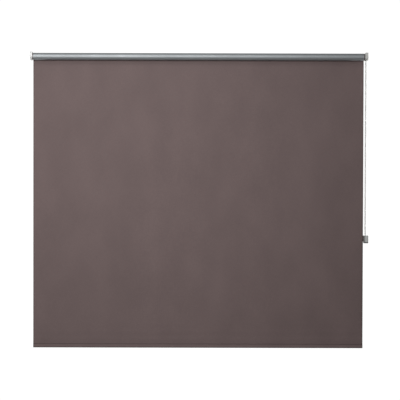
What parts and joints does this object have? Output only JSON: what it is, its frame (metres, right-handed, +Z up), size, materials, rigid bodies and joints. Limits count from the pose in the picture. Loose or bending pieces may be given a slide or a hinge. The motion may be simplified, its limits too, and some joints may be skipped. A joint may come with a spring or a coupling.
{
  "type": "roller blind",
  "caption": "Chain-operated roller blind on two wall brackets, lowered, with a silver-backed brown fabric, a hem bar and a chain tensioner.",
  "frame": {"origin": "centre of the rectangle of the four wall screws, on the wall plane, at the height of the tube's axis", "axes": "+X towards the chain side as seen from the room, +Y into the wall, +Z up"},
  "size_m": [1.8036, 0.0566, 1.5803],
  "materials": {
    "bracket_steel": "satin white powder coat",
    "cover_plastic": "satin white",
    "control_plastic": "satin light grey",
    "bearing_plastic": "moulded grey",
    "spring_steel": "drawn wire",
    "turned_steel": "turned",
    "tube_aluminium": "mill finish",
    "strip_plastic": "extruded",
    "blind_fabric": "woven taupe brown with a silver-grey coated back",
    "fabric_silver_side": "silver-grey coated side",
    "hem_aluminium": "satin",
    "chain_plastic": "moulded beads on a cord",
    "tensioner_plastic": "moulded grey"
  },
  "bodies": {
    "root": {"idle_bracket": "bracket_steel", "idle_bracket_cover": "cover_plastic", "idle_pin_bush": "bearing_plastic", "fabric_panel": "blind_fabric", "control_bracket": "bracket_steel", "control_bracket_cover": "control_plastic", "clutch_hub": "bearing_plastic", "clutch_retaining_clip": "spring_steel", "chain_guard": "control_plastic", "bead_chain": "chain_plastic", "tensioner_base": "tensioner_plastic", "tensioner_housing": "tensioner_plastic", "tensioner_cover": "tensioner_plastic", "tensioner_cover_screws": "turned_steel", "tensioner_axle": "turned_steel"},
    "roller": {"idle_plug": "bearing_plastic", "idle_spring_seat": "bearing_plastic", "idle_pin_spring": "spring_steel", "roller_tube": "tube_aluminium", "fabric_strip": "strip_plastic", "wound_fabric": "fabric_silver_side", "clutch_brake_springs": "spring_steel", "clutch_crown": "bearing_plastic", "chain_sprocket": "bearing_plastic"},
    "pin": {"idle_pin": "turned_steel"},
    "hem": {"hem_pocket": "blind_fabric", "hem_bar": "hem_aluminium", "hem_end_cap_left": "bearing_plastic", "hem_end_cap_right": "bearing_plastic"},
    "idler": {"tensioner_wheel": "bearing_plastic"}
  },
  "joints": [
    {"name": "roller_spin", "type": "hinge", "parent": "root", "child": "roller", "pos_m": [0, -0.036, 0], "axis": [1, 0, 0], "range_deg": [0, 4154]},
    {"name": "hem_lift", "type": "slide", "parent": "root", "child": "hem", "axis": [0, 0, 1], "range_m": [0, 1.501], "deforming": ["fabric_panel"]},
    {"name": "idler_spin", "type": "hinge", "parent": "root", "child": "idler", "pos_m": [0.889, -0.036, -0.966], "axis": [1, 0, 0], "range_deg": [0, 4154]},
    {"name": "idle_pin_slide", "type": "slide", "parent": "roller", "child": "pin", "axis": [1, 0, 0], "range_m": [0, 0.0062], "stiffness_N_per_m": 500, "springref_m": -0.005, "deforming": ["idle_pin_spring"]}
  ],
  "couplings": [
    {"joint": "hem_lift", "follows": "roller_spin", "m_per_rad": 0.0207},
    {"joint": "idler_spin", "follows": "roller_spin", "ratio": 1}
  ]
}
